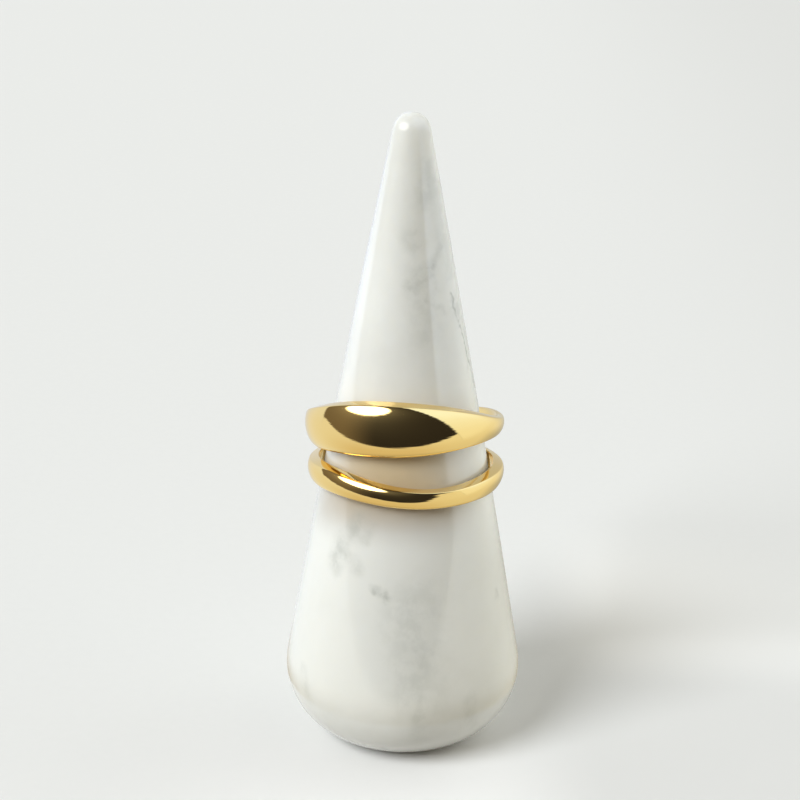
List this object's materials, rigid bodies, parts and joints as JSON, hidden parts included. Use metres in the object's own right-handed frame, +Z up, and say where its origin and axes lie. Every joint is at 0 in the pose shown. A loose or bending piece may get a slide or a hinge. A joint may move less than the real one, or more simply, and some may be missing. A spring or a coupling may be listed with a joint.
{
  "type": "double-band ring on a display cone",
  "caption": "Polished gold split-band ring, a wide domed band above a slim rounded band joined at the back, resting on a turned white marble display cone.",
  "frame": {"origin": "centre of the display cone's flat base, on the surface it stands on", "axes": "+Z up along the cone's axis, -Y towards the front, where the ring's bands part, +X to the viewer's right"},
  "size_m": [0.0242, 0.0242, 0.0656],
  "materials": {
    "white_marble": "polished, faint grey-green veins",
    "yellow_gold": "mirror polished yellow gold"
  },
  "bodies": {
    "root": {"display_cone": "white_marble", "ring": "yellow_gold"}
  },
  "joints": []
}
